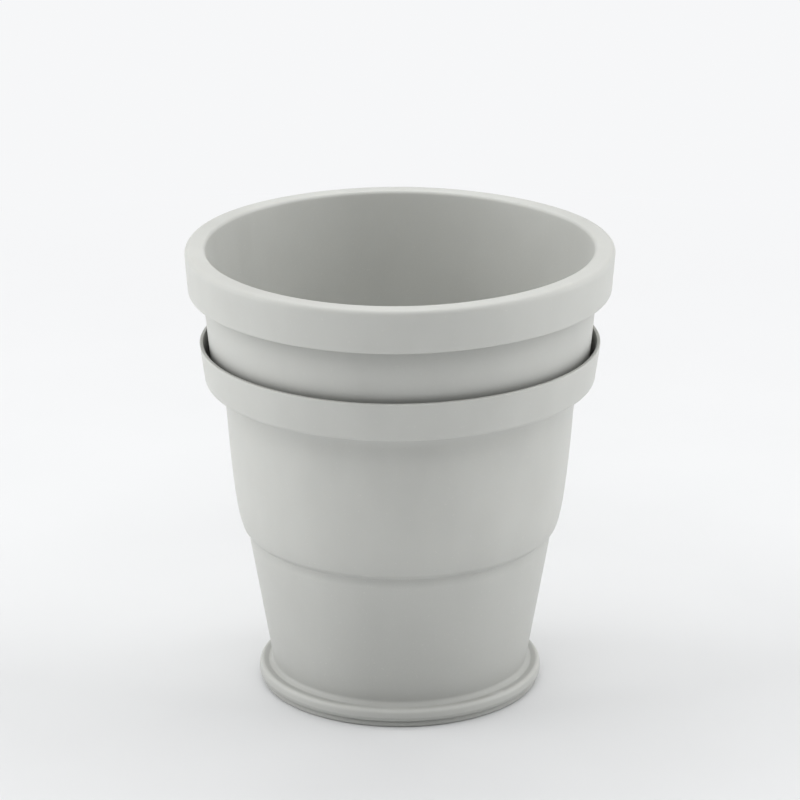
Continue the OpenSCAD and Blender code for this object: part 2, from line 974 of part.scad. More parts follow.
// Lens in the roof with a light pipe down to the lamp on the board
module status_lens() {
    lamp_top = board_top_z + chip_t;
    color([0.75, 0.92, 0.98])
    rotate(lens_angle)
    translate([button_at, 0, 0]) {
        translate([0, 0, lamp_top])
        cylinder(h = roof_z - shell - lamp_top, r = 0.8, $fn = 32);
        translate([0, 0, roof_z - shell])
        cylinder(h = shell + 0.15, r = lens_r, $fn = 32);
    }
}

// Round wire that rises from p, bows over at bow_z and comes down to q
module lead(p, q, bow_z) {
    r = 0.4;
    span = norm([q[0] - p[0], q[1] - p[1]]);
    for (end = [p, q])
    translate(end)
    cylinder(h = bow_z - end[2], r = r, $fn = 32);
    translate([(p[0] + q[0]) / 2, (p[1] + q[1]) / 2, bow_z])
    rotate([90, 0, atan2(q[1] - p[1], q[0] - p[0])])
    rotate_extrude(angle = 180, $fn = 48)
    translate([span / 2, 0])
    circle(r = r, $fn = 32);
}

// Cell to board
module battery_leads() {
    lead_y = 5.6;
    cell_top_z = pod_z + shell + pad_t + 5.0;
    for (s = [-1, 1])
    color(s > 0 ? "red" : "black")
    lead([-1.75, s * lead_y, cell_top_z], [-4.75, s * lead_y, board_top_z], board_top_z + 1.0);
}

// Motor tabs to board
module motor_leads() {
    tab_x = motor_pos[0] + tab_r * cos(tab_angle);
    tab_y = tab_r * sin(tab_angle);
    for (s = [-1, 1])
    color(s > 0 ? "red" : "black")
    lead([tab_x, s * tab_y, motor_z], [-5.0, s * tab_y, board_top_z], board_top_z + 1.2);
}

base_disc();
lower_cup();
fold_wall();
tub_collar();
rim_sleeve();
pod_foot_ring();
pod_base_shell();
pod_top_shell();
shell_seal();
shell_screws();
battery_cell();
battery_pad();
control_board();
tact_switch();
charge_socket();
charge_bracket();
port_flap();
flap_pin();
power_button();
status_lens();
motor_can();
motor_end_cap();
motor_brushes();
motor_magnets();
motor_rotor();
motor_shaft();
motor_screws();
motor_pinion();
gear_deck();
deck_screws();
compound_gear();
compound_pin();
pin_clip();
output_gear();
output_shaft();
lower_bush();
upper_bush();
shaft_seal();
pulsator();
pulsator_screw();
hub_plug();
battery_leads();
motor_leads();
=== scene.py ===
import json
import math

import bpy
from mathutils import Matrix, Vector, noise


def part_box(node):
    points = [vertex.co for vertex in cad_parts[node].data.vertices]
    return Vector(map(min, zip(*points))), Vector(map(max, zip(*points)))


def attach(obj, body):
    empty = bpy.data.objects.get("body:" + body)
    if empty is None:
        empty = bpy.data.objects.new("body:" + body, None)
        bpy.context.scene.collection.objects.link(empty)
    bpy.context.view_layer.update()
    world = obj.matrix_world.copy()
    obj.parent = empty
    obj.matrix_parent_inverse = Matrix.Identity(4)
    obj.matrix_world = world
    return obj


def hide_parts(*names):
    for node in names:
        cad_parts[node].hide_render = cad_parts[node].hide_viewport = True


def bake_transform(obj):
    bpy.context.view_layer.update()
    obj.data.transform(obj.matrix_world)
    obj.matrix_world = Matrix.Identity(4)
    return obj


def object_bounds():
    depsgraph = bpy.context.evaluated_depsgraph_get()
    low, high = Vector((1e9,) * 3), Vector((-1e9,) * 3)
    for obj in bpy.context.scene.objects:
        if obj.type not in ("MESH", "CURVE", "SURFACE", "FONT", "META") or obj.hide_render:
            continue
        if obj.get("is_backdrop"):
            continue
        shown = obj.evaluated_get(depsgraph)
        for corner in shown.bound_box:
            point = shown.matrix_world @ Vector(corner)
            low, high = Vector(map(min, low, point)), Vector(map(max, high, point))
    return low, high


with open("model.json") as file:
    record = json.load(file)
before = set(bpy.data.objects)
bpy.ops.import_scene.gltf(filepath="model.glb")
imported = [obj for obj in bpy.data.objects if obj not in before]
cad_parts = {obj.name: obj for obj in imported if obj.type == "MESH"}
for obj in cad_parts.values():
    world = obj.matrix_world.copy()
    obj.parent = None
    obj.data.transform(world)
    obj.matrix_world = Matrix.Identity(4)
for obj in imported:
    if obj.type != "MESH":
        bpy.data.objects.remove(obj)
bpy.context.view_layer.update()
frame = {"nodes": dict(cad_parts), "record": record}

# The looks of the portable mini washer. Lengths on the object are millimetres, and become metres
# where a mesh is made. The floor, the lights and the camera are placed in metres.
MM = 0.001
TURN = 2 * math.pi


# ---------------------------------------------------------------- sizes from the frame

def ring(node):
    """(outer radius, lowest z, highest z) of a round CAD node about the Z axis."""
    low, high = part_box(node)
    return high.x / MM, low.z / MM, high.z / MM


def centre(node):
    """Middle of a CAD node's box."""
    low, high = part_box(node)
    return (low + high) / 2 / MM


RIM_R, SLEEVE_Z, RIM_Z = ring("rim_sleeve")
LIP_R, COLLAR_Z, LIP_Z = ring("tub_collar")
FOLD_R, CREASE_Z, FOLD_Z = ring("fold_wall")
CUP_R, SEAM_Z, CUP_Z = ring("lower_cup")
DISC_R, GROUND_Z, DISC_Z = ring("base_disc")
PULSATOR_R, PULSATOR_Z, _ = ring("pulsator")

# Wall thicknesses of the tub
WALL = 1.6
THIN_WALL = 0.9
LIP_T = 0.8

# Rim and neck of the sleeve, and the loose fit of its foot in the collar's seat
RIM_H = 9.4
RIM_OVERHANG = 3.8
RIM_DRAFT = 0.7
MOUTH_INSET = 1.55
NECK_TAPER = 0.095
NECK_R = RIM_R - RIM_OVERHANG
RIM_LOW_Z = RIM_Z - RIM_H
SLEEVE_LOW_R = NECK_R - NECK_TAPER * (RIM_LOW_Z - SLEEVE_Z)
SEAT_GAP = 0.25
BAND_DRAFT = 1.2

# Thin wall: how far its top flares out, and how it meets the cup in a soft valley at the crease
FLARE = 1.0
CREASE_STEP = 0.3
CREASE_DEPTH = 0.35

# Foot of the cup
FLANGE_R = DISC_R + 0.6
FLANGE_Z = 4.2
FLANGE_OVERHANG = 3.1
FLOOR_Z = 4.0

# Clearance in a running fit
RUN_GAP = 0.03

# Faces that meet at more than this angle are shaded as an edge
SHARP_ANGLE = math.radians(38)


# ---------------------------------------------------------------- outlines and turned meshes

def rounded(corners, closed=True):
    """Points of an outline through corners (r, z, fillet): each corner is an arc of its fillet.

    A fillet takes at most a little under half of the shorter side, so that two never meet.
    """
    arc_steps = 6
    side_share = 0.48
    straight = math.radians(89)
    out = []
    count = len(corners)
    for i, (r, z, fillet) in enumerate(corners):
        here = Vector((r, z))
        ends = not closed and i in (0, count - 1)
        if fillet <= 0 or ends:
            out.append(here)
            continue
        before = Vector(corners[i - 1][:2]) - here
        after = Vector(corners[(i + 1) % count][:2]) - here
        reach_max = side_share * min(before.length, after.length)
        before.normalize()
        after.normalize()
        half = before.angle(after) / 2
        if half > straight:
            out.append(here)
            continue
        reach = min(fillet / math.tan(half), reach_max)
        radius = reach * math.tan(half)
        middle = here + (before + after).normalized() * (radius / math.sin(half))
        start = here + before * reach - middle
        swing = math.pi - 2 * half
        side = 1 if start.x * before.y < start.y * before.x else -1
        for k in range(arc_steps + 1):
            a = side * swing * k / arc_steps
            c, s = math.cos(a), math.sin(a)
            out.append(middle + Vector((start.x * c - start.y * s, start.x * s + start.y * c)))
    return out


def divided(points, step, closed=True):
    """The same outline, with stretches longer than step cut into equal parts."""
    out = []
    count = len(points)
    for i in range(count if closed else count - 1):
        a, b = Vector(points[i]), Vector(points[(i + 1) % count])
        parts = max(1, math.ceil((b - a).length / step))
        out += [a.lerp(b, k / parts) for k in range(parts)]
    if not closed:
        out.append(Vector(points[-1]))
    return out


def turned(name, points, sectors, closed=True, shape=None, axis=(0, 0)):
    """Mesh object made by turning an outline (r, z) about an upright axis.

    shape(r, angle, z) gives the (r, z) that a point is moved to.
    """
    on_axis = 1e-6
    verts, rows = [], []
    for p in points:
        if p[0] < on_axis:
            rows.append([len(verts)] * sectors)
            verts.append((axis[0] * MM, axis[1] * MM, p[1] * MM))
            continue
        rows.append(list(range(len(verts), len(verts) + sectors)))
        for k in range(sectors):
            a = TURN * k / sectors
            r, z = shape(p[0], a, p[1]) if shape else (p[0], p[1])
            verts.append(((axis[0] + r * math.cos(a)) * MM, (axis[1] + r * math.sin(a)) * MM, z * MM))
    faces = []
    for i in range(len(rows) if closed else len(rows) - 1):
        low, high = rows[i], rows[(i + 1) % len(rows)]
        for k in range(sectors):
            n = (k + 1) % sectors
            face = [low[k], low[n], high[n], high[k]]
            faces.append([v for j, v in enumerate(face) if v not in face[:j]])
    return mesh_object(name, verts, [f for f in faces if len(f) > 2])


def mesh_object(name, verts, faces):
    """Smooth-shaded mesh object with its faces turned outwards."""
    mesh = bpy.data.meshes.new(name)
    mesh.from_pydata(verts, [], faces)
    mesh.validate()
    obj = bpy.data.objects.new(name, mesh)
    bpy.context.scene.collection.objects.link(obj)
    bpy.context.view_layer.objects.active = obj
    obj.select_set(True)
    bpy.ops.object.mode_set(mode="EDIT")
    bpy.ops.mesh.select_all(action="SELECT")
    bpy.ops.mesh.normals_make_consistent(inside=False)
    bpy.ops.object.mode_set(mode="OBJECT")
    obj.select_set(False)
    mesh.polygons.foreach_set("use_smooth", [True] * len(mesh.polygons))
    mesh.set_sharp_from_angle(angle=SHARP_ANGLE)
    return obj


def smooth_step(t):
    """0 to 1 as t goes from 0 to 1, level at both ends."""
    t = max(0.0, min(1.0, t))
    return t * t * (3 - 2 * t)


def soft_shape(r, a, z):
    """Soft moulding: a little out of round and uneven towards the mouth, true at the foot."""
    give = smooth_step(z / RIM_Z)
    spot = Vector((math.cos(a) * 1.3, math.sin(a) * 1.3, z / 40))
    dr = 0.16 * math.sin(2 * a + 0.6) + 0.07 * math.sin(3 * a + 2.1) + 0.10 * noise.noise(spot)
    dz = 0.16 * math.sin(2 * a + 2.4) + 0.05 * math.sin(5 * a + 0.3)
    return r + dr * give, z + dz * give


def slab(name, outline, low, high, low_round, high_round, crown=0.0):
    """Plate from an outline (x, y) between two heights, with rolled edges and a crowned top."""
    steps = 5
    middle = sum((Vector(p) for p in outline), Vector((0, 0))) / len(outline)
    normals = []
    for i, p in enumerate(outline):
        along = (Vector(outline[(i + 1) % len(outline)]) - Vector(outline[i - 1])).normalized()
        normals.append(Vector((along.y, -along.x)))
    if sum((Vector(p) - middle).dot(n) for p, n in zip(outline, normals)) < 0:
        normals = [-n for n in normals]
    angles = [math.pi / 2 * k / steps for k in range(steps + 1)]
    rings = [(low_round * (1 - math.sin(a)), low + low_round * (1 - math.cos(a))) for a in angles]
    rings += [(high_round * (1 - math.cos(a)), high - high_round * (1 - math.sin(a))) for a in angles]
    verts = [
        ((p[0] - n.x * inset) * MM, (p[1] - n.y * inset) * MM, z * MM)
        for inset, z in rings
        for p, n in zip(outline, normals)
    ]
    count = len(outline)
    faces = []
    for i in range(len(rings) - 1):
        for k in range(count):
            n = (k + 1) % count
            faces.append([i * count + k, i * count + n, (i + 1) * count + n, (i + 1) * count + k])
    faces.append(list(range(count)))
    last = (len(rings) - 1) * count
    top = last
    for share in (0.75, 0.5, 0.25):
        start = len(verts)
        for k in range(count):
            n = (k + 1) % count
            x, y, _ = verts[last + k]
            verts.append((
                middle.x * MM + (x - middle.x * MM) * share,
                middle.y * MM + (y - middle.y * MM) * share,
                (high + crown * (1 - share * share)) * MM,
            ))
            faces.append([top + k, top + n, start + n, start + k])
        top = start
    faces.append(list(range(top, top + count)))
    return mesh_object(name, verts, faces)


def box_outline(x0, x1, y0, y1, fillet):
    """Outline (x, y) of a rectangle with round corners."""
    return rounded([(x0, y0, fillet), (x1, y0, fillet), (x1, y1, fillet), (x0, y1, fillet)])


def united(first, *others):
    """One surface from overlapping pieces, shaded so that its flat faces stay flat."""
    for other in others:
        join = first.modifiers.new("join", "BOOLEAN")
        join.operation, join.solver, join.object = "UNION", "EXACT", other
    apply_modifiers(first)
    for other in others:
        bpy.data.objects.remove(other)
    first.data.polygons.foreach_set("use_smooth", [True] * len(first.data.polygons))
    first.data.set_sharp_from_angle(angle=SHARP_ANGLE)
    first.modifiers.new("weighted", "WEIGHTED_NORMAL").keep_sharp = True
    return first


def apply_modifiers(obj):
    """Puts the result of the object's modifiers into its mesh."""
    graph = bpy.context.evaluated_depsgraph_get()
    made = bpy.data.meshes.new_from_object(obj.evaluated_get(graph))
    obj.modifiers.clear()
    obj.data = made


def tube(name, path, radius):
    """Round bar along a path of points (x, y, z), with flat ends. The path lies in an upright plane."""
    sides = 20
    verts, faces = [], []
    count = len(path)
    flat = (Vector(path[-1]) - Vector(path[0])).cross(Vector((0, 0, 1))).normalized()
    for i, p in enumerate(path):
        along = (Vector(path[min(i + 1, count - 1)]) - Vector(path[max(i - 1, 0)])).normalized()
        other = along.cross(flat)
        for k in range(sides):
            a = TURN * k / sides
            verts.append((Vector(p) + (flat * math.cos(a) + other * math.sin(a)) * radius) * MM)
    for i in range(count - 1):
        for k in range(sides):
            n = (k + 1) % sides
            faces.append([i * sides + k, i * sides + n, (i + 1) * sides + n, (i + 1) * sides + k])
    faces.append(list(range(sides)))
    faces.append([(count - 1) * sides + k for k in range(sides)])
    return mesh_object(name, verts, faces)


def joined(name, objects):
    """Puts separate closed pieces into one object."""
    bpy.ops.object.select_all(action="DESELECT")
    for obj in objects:
        obj.select_set(True)
    bpy.context.view_layer.objects.active = objects[0]
    bpy.ops.object.join()
    objects[0].name = name
    objects[0].select_set(False)
    return objects[0]


# ---------------------------------------------------------------- node helpers

class Shader:
    """Short way to build a node tree: add() makes a node, and link() joins two sockets."""

    def __init__(self, name):
        self.material = bpy.data.materials.new(name)
        self.material.use_nodes = True
        self.tree = self.material.node_tree
        self.tree.nodes.clear()
        self.output = self.add("ShaderNodeOutputMaterial")
        self.surface = self.add("ShaderNodeBsdfPrincipled")
        self.link(self.surface.outputs["BSDF"], self.output.inputs["Surface"])
        self.place = self.add("ShaderNodeTexCoord").outputs["Object"]

    def add(self, kind, **settings):
        node = self.tree.nodes.new(kind)
        for key, value in settings.items():
            setattr(node, key, value)
        return node

    def link(self, a, b):
        self.tree.links.new(a, b)

    def set(self, **values):
        for key, value in values.items():
            self.surface.inputs[key.replace("_", " ")].default_value = value

    def noise(self, size, detail=4, rough=0.5, stretch=None):
        """Noise of features about size millimetres wide."""
        node = self.add("ShaderNodeTexNoise")
        node.inputs["Scale"].default_value = 1 / (size * MM)
        node.inputs["Detail"].default_value = detail
        node.inputs["Roughness"].default_value = rough
        source = self.place
        if stretch:
            mapping = self.add("ShaderNodeMapping")
            mapping.inputs["Scale"].default_value = stretch
            self.link(self.place, mapping.inputs["Vector"])
            source = mapping.outputs["Vector"]
        self.link(source, node.inputs["Vector"])
        return node.outputs["Fac"]

    def ramp(self, value, low, high, to_low, to_high):
        """Value mapped from low..high to to_low..to_high, clamped."""
        node = self.add("ShaderNodeMapRange")
        for key, v in (("From Min", low), ("From Max", high), ("To Min", to_low), ("To Max", to_high)):
            node.inputs[key].default_value = v
        self.link(value, node.inputs["Value"])
        return node.outputs["Result"]

    def mix(self, factor, a, b):
        """Colour a turned towards colour b by factor."""
        node = self.add("ShaderNodeMix", data_type="RGBA")
        for name, kind, value in (("Factor", "VALUE", factor), ("A", "RGBA", a), ("B", "RGBA", b)):
            target = next(i for i in node.inputs if i.name == name and i.type == kind)
            if hasattr(value, "node"):
                self.link(value, target)
            elif kind == "VALUE":
                target.default_value = value
            else:
                target.default_value = (*value, 1)
        return next(o for o in node.outputs if o.type == "RGBA")

    def math(self, operation, a, b=None):
        node = self.add("ShaderNodeMath", operation=operation)
        for socket, value in zip(node.inputs, (a, b)):
            if value is None:
                continue
            if hasattr(value, "node"):
                self.link(value, socket)
            else:
                socket.default_value = value
        return node.outputs[0]

    def bumps(self, *layers, round_edges=0.0):
        """Bump layers (height, depth in millimetres), one over another. round_edges is the radius
        in millimetres to which sharp edges look rounded."""
        normal = None
        if round_edges:
            bevel = self.add("ShaderNodeBevel", samples=6)
            bevel.inputs["Radius"].default_value = round_edges * MM
            normal = bevel.outputs["Normal"]
        for height, depth in layers:
            node = self.add("ShaderNodeBump")
            node.inputs["Distance"].default_value = depth * MM
            node.inputs["Strength"].default_value = 1
            self.link(height, node.inputs["Height"])
            if normal:
                self.link(normal, node.inputs["Normal"])
            normal = node.outputs["Normal"]
        self.link(normal, self.surface.inputs["Normal"])

    def nearness(self, reach):
        """0 in the open, towards 1 where other surfaces stand within reach millimetres."""
        node = self.add("ShaderNodeAmbientOcclusion", samples=6)
        node.inputs["Distance"].default_value = reach * MM
        return self.math("SUBTRACT", 1.0, node.outputs["AO"])

    def edges(self):
        """1 on outer edges, 0 elsewhere."""
        pointed = self.add("ShaderNodeNewGeometry").outputs["Pointiness"]
        return self.ramp(pointed, 0.505, 0.56, 0, 1)


def tint(colour, factor):
    """The colour made lighter or darker."""
    return tuple(max(0.0, min(1.0, c * factor)) for c in colour)


# ---------------------------------------------------------------- materials

def silicone(name, colour, rough=0.52):
    """Matte moulded silicone: fine sandblasted grain, faint flow marks, a little dust, painted shade in
    hollows and painted highlights on edges.
    """
    s = Shader(name)
    cloud = s.noise(22, detail=3)
    flow = s.noise(9, detail=2, stretch=(1, 1, 0.25))
    fine = s.noise(0.16, detail=2, rough=0.6)
    dust = s.ramp(s.noise(0.42, detail=1), 0.71, 0.76, 0, 1)
    base = s.mix(s.ramp(cloud, 0.35, 0.65, 0, 1), tint(colour, 0.97), tint(colour, 1.02))
    base = s.mix(s.ramp(flow, 0.4, 0.62, 0, 0.35), base, tint(colour, 1.05))
    # Painted shade: darker where other surfaces stand close, in creases, gaps and under the rim
    base = s.mix(s.math("MULTIPLY", s.nearness(7), 0.62), base, tint(colour, 0.55))
    # Painted shade: darker deep inside the tub, where the walls keep the light out
    base = s.mix(s.math("MULTIPLY", s.nearness(45), 0.6), base, tint(colour, 0.4))
    # Painted highlight: lighter on outer edges, as if they caught the light
    base = s.mix(s.math("MULTIPLY", s.edges(), 0.25), base, tint(colour, 1.12))
    base = s.mix(s.math("MULTIPLY", dust, 0.22), base, (0.80, 0.79, 0.76))
    s.link(base, s.surface.inputs["Base Color"])
    shine = s.ramp(cloud, 0.3, 0.7, rough - 0.05, rough + 0.06)
    shine = s.math("SUBTRACT", shine, s.math("MULTIPLY", s.edges(), 0.04))
    s.link(shine, s.surface.inputs["Roughness"])
    s.set(Subsurface_Weight=0.12, Subsurface_Radius=(1.0, 0.9, 0.78), Subsurface_Scale=1.2 * MM)
    s.set(Sheen_Weight=0.06, Sheen_Roughness=0.6, IOR=1.42)
    s.bumps((s.noise(6, detail=2), 0.05), (fine, 0.012))
    return s.material


def plastic(name, colour, rough=0.45, grain=0.006):
    """Moulded plastic with a fine spark-eroded texture and softened edges."""
    s = Shader(name)
    cloud = s.noise(15, detail=3)
    base = s.mix(s.ramp(cloud, 0.35, 0.65, 0, 1), tint(colour, 0.96), tint(colour, 1.03))
    # Painted shade: darker where other surfaces stand close, in corners and gaps
    base = s.mix(s.math("MULTIPLY", s.nearness(2.5), 0.6), base, tint(colour, 0.6))
    s.link(base, s.surface.inputs["Base Color"])
    smear = s.ramp(s.noise(5, detail=5), 0.3, 0.7, rough - 0.06, rough + 0.08)
    s.link(smear, s.surface.inputs["Roughness"])
    s.set(IOR=1.5)
    s.bumps((s.noise(0.22, detail=2, rough=0.6), grain), round_edges=0.25)
    return s.material


def metal(name, colour, rough=0.28, stretch=(1, 1, 14)):
    """Machined metal: fine drawn lines, small scratches, dulled patches."""
    s = Shader(name)
    lines = s.noise(0.35, detail=5, stretch=stretch)
    patches = s.noise(4, detail=4)
    base = s.mix(s.ramp(patches, 0.35, 0.7, 0, 1), colour, tint(colour, 0.84))
    base = s.mix(s.math("MULTIPLY", s.edges(), 0.4), base, tint(colour, 1.15))
    s.link(base, s.surface.inputs["Base Color"])
    dull = s.ramp(patches, 0.3, 0.7, rough - 0.07, rough + 0.10)
    s.link(s.math("ADD", dull, s.ramp(lines, 0, 1, -0.05, 0.08)), s.surface.inputs["Roughness"])
    s.set(Metallic=1.0, Anisotropic=0.3)
    s.bumps((lines, 0.004), round_edges=0.12)
    return s.material


def nylon(name, colour):
    """Moulded gear nylon: waxy, slightly translucent."""
    s = Shader(name)
    cloud = s.noise(3, detail=3)
    base = s.mix(s.ramp(cloud, 0.3, 0.7, 0, 1), tint(colour, 0.93), tint(colour, 1.03))
    s.link(base, s.surface.inputs["Base Color"])
    s.link(s.ramp(cloud, 0.3, 0.7, 0.32, 0.46), s.surface.inputs["Roughness"])
    s.set(Subsurface_Weight=0.25, Subsurface_Radius=(1, 0.9, 0.7), Subsurface_Scale=0.8 * MM)
    s.bumps((s.noise(0.3, detail=2), 0.004), round_edges=0.06)
    return s.material


def circuit(name, colour):
    """Solder-masked board: darker copper-free cells, faint traces and glass weave."""
    s = Shader(name)
    cells = s.add("ShaderNodeTexBrick")
    cells.inputs["Scale"].default_value = 1 / (2.4 * MM)
    cells.inputs["Mortar Size"].default_value = 0.035
    s.link(s.place, cells.inputs["Vector"])
    base = s.mix(cells.outputs["Fac"], tint(colour, 0.85), tint(colour, 1.7))
    base = s.mix(s.ramp(s.noise(1.2), 0.4, 0.6, 0, 0.5), base, tint(colour, 1.15))
    s.link(base, s.surface.inputs["Base Color"])
    s.link(s.ramp(s.noise(2.0), 0.3, 0.7, 0.22, 0.36), s.surface.inputs["Roughness"])
    s.bumps((cells.outputs["Fac"], 0.02), (s.noise(0.25), 0.004), round_edges=0.08)
    return s.material


def lens(name):
    """Frosted light pipe."""
    s = Shader(name)
    haze = s.ramp(s.noise(0.5), 0.3, 0.7, 0.18, 0.34)
    base = s.mix(s.ramp(s.noise(2), 0.3, 0.7, 0, 1), (0.50, 0.63, 0.68), (0.58, 0.70, 0.74))
    s.link(base, s.surface.inputs["Base Color"])
    s.link(haze, s.surface.inputs["Roughness"])
    s.set(Subsurface_Weight=0.4, Subsurface_Scale=1.0 * MM, IOR=1.5)
    s.bumps((s.noise(0.2), 0.003), round_edges=0.1)
    return s.material


def foam(name, colour):
    """Open-cell foam."""
    s = Shader(name)
    cells = s.add("ShaderNodeTexVoronoi")
    cells.inputs["Scale"].default_value = 1 / (0.45 * MM)
    s.link(s.place, cells.inputs["Vector"])
    hole = s.ramp(cells.outputs["Distance"], 0.05, 0.6, 0, 1)
    # Painted shade: the cells' hollows are darker, where the bump sinks them
    s.link(s.mix(hole, tint(colour, 0.55), colour), s.surface.inputs["Base Color"])
    s.set(Roughness=0.9)
    s.bumps((hole, 0.08))
    return s.material


def sheath(name):
    """Wire sheath: red on the +Y side, black on the other."""
    s = Shader(name)
    split = s.add("ShaderNodeSeparateXYZ")
    s.link(s.place, split.inputs[0])
    side = s.math("GREATER_THAN", split.outputs["Y"], 0.0)
    base = s.mix(side, (0.02, 0.02, 0.022), (0.50, 0.03, 0.025))
    base = s.mix(s.ramp(s.noise(1.5), 0.4, 0.6, 0, 0.2), base, (0.25, 0.23, 0.22))
    s.link(base, s.surface.inputs["Base Color"])
    s.link(s.ramp(s.noise(1.0), 0.3, 0.7, 0.32, 0.48), s.surface.inputs["Roughness"])
    s.bumps((s.noise(0.3), 0.004))
    return s.material


TUB = (0.60, 0.605, 0.575)
STUDIO_WHITE = (0.925, 0.93, 0.94)
SKINS = {
    "tub_silicone": lambda n: silicone(n, TUB),
    "sleeve_silicone": lambda n: silicone(n, tint(TUB, 1.02)),
    "base_silicone": lambda n: silicone(n, tint(TUB, 0.97)),
    "grip_silicone": lambda n: silicone(n, (0.26, 0.27, 0.27), rough=0.58),
    "seal_rubber": lambda n: silicone(n, (0.035, 0.035, 0.038), rough=0.45),
    "pad_foam": lambda n: foam(n, (0.72, 0.72, 0.70)),
    "pod_plastic": lambda n: plastic(n, (0.56, 0.565, 0.55)),
    "pulsator_plastic": lambda n: plastic(n, (0.42, 0.44, 0.45), rough=0.33),
    "deck_plastic": lambda n: plastic(n, (0.05, 0.055, 0.06), rough=0.5),
    "cap_plastic": lambda n: plastic(n, (0.70, 0.70, 0.66)),
    "switch_plastic": lambda n: plastic(n, (0.03, 0.03, 0.035), rough=0.4),
    "lead_cover": sheath,
    "gear_nylon": lambda n: nylon(n, (0.82, 0.79, 0.68)),
    "board_green": lambda n: circuit(n, (0.02, 0.13, 0.06)),
    "lens_clear": lens,
    "steel": lambda n: metal(n, (0.60, 0.61, 0.63), rough=0.22),
    "screw_steel": lambda n: metal(n, (0.52, 0.53, 0.55), rough=0.30, stretch=(1, 1, 1)),
    "can_steel": lambda n: metal(n, (0.62, 0.63, 0.65), rough=0.32),
    "socket_steel": lambda n: metal(n, (0.66, 0.67, 0.68), rough=0.26),
    "brass": lambda n: metal(n, (0.74, 0.56, 0.24), rough=0.27),
    "magnet_ferrite": lambda n: plastic(n, (0.05, 0.05, 0.055), rough=0.62, grain=0.015),
    "armature": lambda n: metal(n, (0.55, 0.32, 0.20), rough=0.4, stretch=(14, 14, 1)),
    "cell_pouch": lambda n: metal(n, (0.70, 0.71, 0.73), rough=0.38, stretch=(1, 1, 1)),
}
materials = {name: make(name) for name, make in SKINS.items()}
slot_of = {p["node"]: p["material_slot"] for p in frame["record"]["subparts"]}


def finish_piece(obj, slot, body, *nodes):
    """Gives a new piece its material and slot, joins it to its body and lets it stand for CAD nodes."""
    obj.data.materials.clear()
    obj.data.materials.append(materials[slot])
    if body:
        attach(obj, body)
    if nodes:
        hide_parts(*nodes)
    return obj


# ---------------------------------------------------------------- the tub

def make_sleeve():
    """Loose sleeve: tapered wall and the thick rim, every edge rolled."""
    mouth_r = NECK_R + NECK_TAPER * RIM_H - MOUTH_INSET
    corners = [
        (SLEEVE_LOW_R - WALL, SLEEVE_Z, 0.35),
        (SLEEVE_LOW_R, SLEEVE_Z, 0.5),
        (NECK_R, RIM_LOW_Z, 0.35),
        (RIM_R - RIM_DRAFT, RIM_LOW_Z, 0.5),
        (RIM_R, RIM_Z, 1.15),
        (mouth_r, RIM_Z, 0.8),
    ]
    points = divided(rounded(corners), 0.9)
    obj = turned("sleeve_skin", points, sectors=256, shape=soft_shape)
    return finish_piece(obj, "sleeve_silicone", "sleeve", "rim_sleeve")


def make_collar():
    """Collar: shoulder, band, thin lip, and inside them the seat that the sleeve stands in."""
    band_low = LIP_R - BAND_DRAFT
    inside = FOLD_R - THIN_WALL
    seat = SLEEVE_LOW_R + SEAT_GAP
    corners = [
        (inside, COLLAR_Z, 0),
        (FOLD_R, COLLAR_Z, 0),
        (FOLD_R + 0.55, COLLAR_Z + 1.15, 1.3),
        (band_low, COLLAR_Z + 1.35, 1.15),
        (LIP_R, LIP_Z, 0.24),
        (LIP_R - LIP_T, LIP_Z, 0.2),
        (seat, SLEEVE_Z + 0.02, 0.6),
        (inside, SLEEVE_Z - 0.02, 0.5),
    ]
    points = divided(rounded(corners), 0.7)
    obj = turned("collar_skin", points, sectors=256, shape=soft_shape)
    return finish_piece(obj, "tub_silicone", "collar", "tub_collar")


def fold_radius(t):
    """Outer radius of the thin wall: t is 0 at the top, where it flares out, and 1 at the crease."""
    top_r = FOLD_R - FLARE
    crease_r = CUP_R + CREASE_STEP
    drop = 0.32 * t + 0.42 * t ** 2.2 + 0.26 * t ** 14
    return top_r + FLARE * (1 - t) ** 16 - (top_r - crease_r) * drop


def crease_dip(z):
    """Share of the crease's depth at height z: 1 at the crease, 0 beyond its reach above or below."""
    reach = 1.5 if z > CREASE_Z else 2.4
    return smooth_step(1 - abs(z - CREASE_Z) / reach)


def make_fold():
    """Thin wall that rolls inside out between the cup and the collar."""
    rows = 110
    outer_depth = CREASE_STEP + CREASE_DEPTH
    inner_depth = CREASE_STEP + WALL - THIN_WALL
    down = [(1 - math.cos(math.pi * i / rows)) / 2 for i in range(rows + 1)]
    outer, inner = [], []
    for t in down:
        z = FOLD_Z - (FOLD_Z - CREASE_Z) * t
        r, dip = fold_radius(t), crease_dip(z)
        outer.append(Vector((r - outer_depth * dip, z)))
        inner.insert(0, Vector((r - THIN_WALL - inner_depth * dip, z)))
    obj = turned("fold_skin", outer + inner, sectors=256, shape=soft_shape)
    finish_piece(obj, "tub_silicone", None, "fold_wall")
    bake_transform(obj)
    return obj


